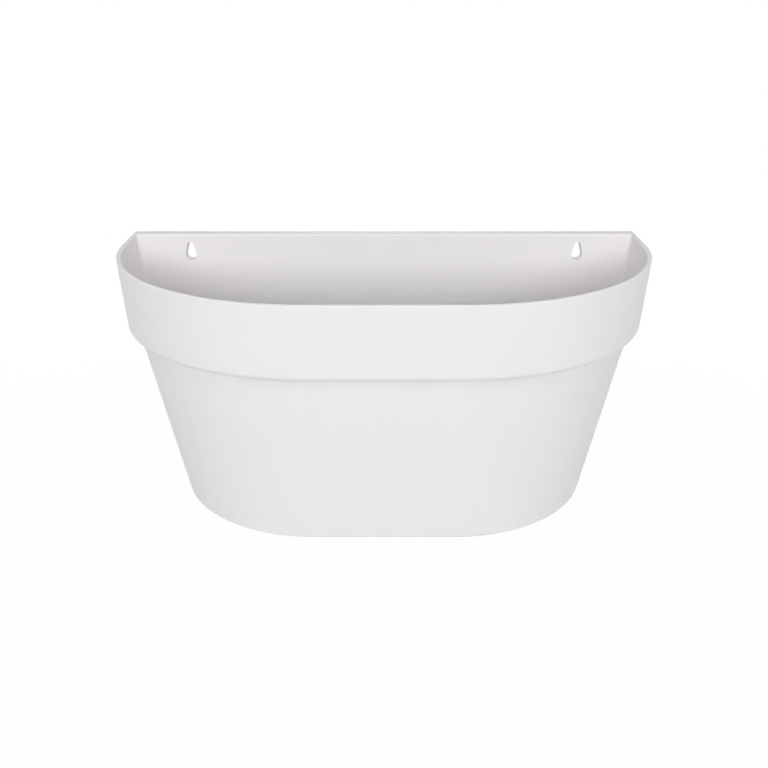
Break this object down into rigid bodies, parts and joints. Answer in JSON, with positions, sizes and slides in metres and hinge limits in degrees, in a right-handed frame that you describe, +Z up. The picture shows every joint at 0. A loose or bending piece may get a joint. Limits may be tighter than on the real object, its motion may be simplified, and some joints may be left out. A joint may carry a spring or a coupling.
{
  "type": "wall planter",
  "caption": "Half-round wall planter with a flat back, teardrop hanging holes, a stepped rim band over a tapered body, a lift-out reservoir insert and pull-out drain plugs.",
  "frame": {"origin": "on the wall plane, midway between the two screw seats of the hanging holes", "axes": "+Z up, +Y into the wall, so the front faces -Y; +X to the right for someone who looks at the front"},
  "size_m": [0.3858, 0.1839, 0.1855],
  "materials": {
    "shell": "white moulded polypropylene, satin",
    "insert": "dark grey moulded polypropylene, matt",
    "plug": "soft grey elastomer, matt"
  },
  "bodies": {
    "planter": {"planter_shell": "shell"},
    "insert": {"reservoir_insert": "insert"},
    "plug_left": {"drain_plug_left": "plug"},
    "plug_right": {"drain_plug_right": "plug"}
  },
  "joints": [
    {"name": "insert_lift", "type": "slide", "parent": "planter", "child": "insert", "axis": [0, 0, 1], "range_m": [0, 0.22]},
    {"name": "plug_left_pull", "type": "slide", "parent": "planter", "child": "plug_left", "axis": [0, 0, -1], "range_m": [0, 0.03]},
    {"name": "plug_right_pull", "type": "slide", "parent": "planter", "child": "plug_right", "axis": [0, 0, -1], "range_m": [0, 0.03]}
  ]
}
